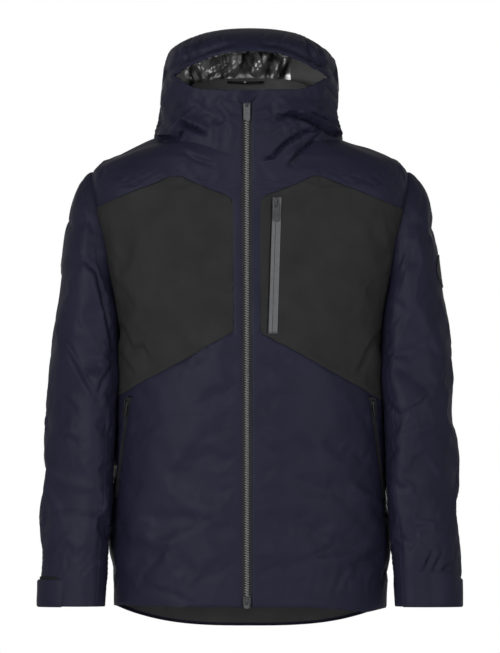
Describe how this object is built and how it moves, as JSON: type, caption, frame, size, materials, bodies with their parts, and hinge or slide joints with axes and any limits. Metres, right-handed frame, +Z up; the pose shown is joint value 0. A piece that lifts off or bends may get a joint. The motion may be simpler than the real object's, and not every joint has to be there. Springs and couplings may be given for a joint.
{
  "type": "foul weather jacket",
  "caption": "Hooded foul weather jacket with two-way front zip, zipped chest and hand pockets, set-in sleeves and tabbed cuffs.",
  "frame": {"origin": "middle of the hanging loop inside the back of the neck", "axes": "+Z up, the front of the jacket faces -Y, the wearer's left is +X"},
  "size_m": [0.688, 0.284, 0.957],
  "materials": {
    "shell_navy": "fine plain weave, soft satin",
    "shell_grey": "stretch weave, matt",
    "lining_dark": "smooth taffeta, satin",
    "hood_foil": "metallic-coated lining, glossy",
    "facing_navy": "fine plain weave",
    "pocket_mesh": "knitted mesh",
    "zip_tape": "woven tape, matt",
    "zip_teeth": "moulded acetal, satin",
    "coated_tape": "coated, retroreflective grey",
    "slider_metal": "gunmetal plating, satin",
    "hook_and_loop": "hook and loop pile",
    "badge_rubber": "moulded, matt",
    "label_white": "woven satin"
  },
  "bodies": {
    "torso": {"chest_panel_R": "shell_grey", "chest_panel_L": "shell_grey", "front_lower_R": "shell_navy", "front_lower_L": "shell_navy", "front_yoke_R": "shell_navy", "front_yoke_L": "shell_navy", "back_panel": "shell_navy", "back_yoke": "shell_navy", "front_lining_R": "lining_dark", "front_lining_L": "lining_dark", "back_lining": "lining_dark", "storm_flap": "shell_navy", "collar_shell_R": "shell_navy", "collar_shell_L": "shell_navy", "inner_collar": "lining_dark", "hanging_loop": "zip_tape", "neck_label": "label_white", "main_zip_tape_R": "zip_tape", "main_zip_tape_L": "zip_tape", "main_zip_teeth_R": "zip_teeth", "main_zip_teeth_L": "zip_teeth", "zip_garage": "shell_navy", "zip_foot": "zip_teeth", "chest_zip_tape": "coated_tape", "chest_zip_coil": "zip_teeth", "chest_pocket_bag": "pocket_mesh", "hand_zip_R": "zip_tape", "hand_zip_L": "zip_tape", "hand_pocket_bag_R": "pocket_mesh", "hand_pocket_bag_L": "pocket_mesh"},
    "hood": {"hood_brim": "shell_navy", "hood_centre": "shell_navy", "hood_side_R": "shell_navy", "hood_side_L": "shell_navy", "hood_lining": "hood_foil"},
    "sleeve_R": {"sleeve_top_R": "shell_navy", "sleeve_under_R": "shell_navy", "sleeve_lining_R": "lining_dark", "cuff_facing_R": "facing_navy", "cuff_loop_strip_R": "hook_and_loop"},
    "cuff_tab_R": {"cuff_tab_R": "shell_navy", "tab_hook_R": "hook_and_loop"},
    "sleeve_L": {"sleeve_top_L": "shell_navy", "sleeve_under_L": "shell_navy", "sleeve_lining_L": "lining_dark", "cuff_facing_L": "facing_navy", "cuff_loop_strip_L": "hook_and_loop", "sleeve_badge": "badge_rubber"},
    "cuff_tab_L": {"cuff_tab_L": "shell_navy", "tab_hook_L": "hook_and_loop"},
    "main_slider": {"main_slider": "slider_metal"},
    "main_pull": {"main_pull": "slider_metal"},
    "lower_slider": {"lower_slider": "slider_metal"},
    "lower_pull": {"lower_pull": "slider_metal"},
    "chest_slider": {"chest_slider": "slider_metal"},
    "chest_pull": {"chest_pull": "slider_metal"},
    "hand_slider_R": {"hand_slider_R": "slider_metal"},
    "hand_pull_R": {"hand_pull_R": "slider_metal"},
    "hand_slider_L": {"hand_slider_L": "slider_metal"},
    "hand_pull_L": {"hand_pull_L": "slider_metal"}
  },
  "joints": [
    {"name": "hood_tilt", "type": "hinge", "parent": "torso", "child": "hood", "pos_m": [0.008, 0.0494, -0.123], "axis": [-1, 0, 0], "range_deg": [0, 15]},
    {"name": "shoulder_R", "type": "hinge", "parent": "torso", "child": "sleeve_R", "pos_m": [-0.2515, -0.0636, -0.149], "axis": [0, 1, 0], "range_deg": [0, 40]},
    {"name": "shoulder_L", "type": "hinge", "parent": "torso", "child": "sleeve_L", "pos_m": [0.2675, -0.0636, -0.149], "axis": [0, -1, 0], "range_deg": [0, 40]},
    {"name": "cuff_tab_R_open", "type": "hinge", "parent": "sleeve_R", "child": "cuff_tab_R", "pos_m": [-0.3344, -0.0916, -0.812], "axis": [0, 0, -1], "range_deg": [0, 100]},
    {"name": "cuff_tab_L_open", "type": "hinge", "parent": "sleeve_L", "child": "cuff_tab_L", "pos_m": [0.3504, -0.0916, -0.812], "axis": [0, 0, 1], "range_deg": [0, 100]},
    {"name": "main_zip_slide", "type": "slide", "parent": "torso", "child": "main_slider", "axis": [0, -0.0629, -0.998], "range_m": [0, 0.43]},
    {"name": "main_pull_swing", "type": "hinge", "parent": "main_slider", "child": "main_pull", "pos_m": [0.003, -0.17813, -0.033], "axis": [-1, 0, 0], "range_deg": [0, 150]},
    {"name": "lower_zip_slide", "type": "slide", "parent": "torso", "child": "lower_slider", "axis": [0, 0, 1], "range_m": [0, 0.3]},
    {"name": "lower_pull_swing", "type": "hinge", "parent": "lower_slider", "child": "lower_pull", "pos_m": [0.003, -0.2068, -0.827], "axis": [-1, 0, 0], "range_deg": [0, 150]},
    {"name": "chest_zip_slide", "type": "slide", "parent": "torso", "child": "chest_slider", "axis": [-0.0314, -0.0623, -0.9976], "range_m": [0, 0.19]},
    {"name": "chest_pull_swing", "type": "hinge", "parent": "chest_slider", "child": "chest_pull", "pos_m": [0.04978, -0.18584, -0.193], "axis": [-1, 0, 0], "range_deg": [0, 150]},
    {"name": "hand_zip_R_slide", "type": "slide", "parent": "torso", "child": "hand_slider_R", "axis": [-0.1257, 0.1779, -0.976], "range_m": [0, 0.145]},
    {"name": "hand_pull_R_swing", "type": "hinge", "parent": "hand_slider_R", "child": "hand_pull_R", "pos_m": [-0.19017, -0.13592, -0.50982], "axis": [-0.5632, 0.797, 0.2179], "range_deg": [0, 150]},
    {"name": "hand_zip_L_slide", "type": "slide", "parent": "torso", "child": "hand_slider_L", "axis": [0.1257, 0.1779, -0.976], "range_m": [0, 0.145]},
    {"name": "hand_pull_L_swing", "type": "hinge", "parent": "hand_slider_L", "child": "hand_pull_L", "pos_m": [0.20617, -0.13592, -0.50982], "axis": [-0.5632, -0.797, -0.2179], "range_deg": [0, 150]}
  ]
}
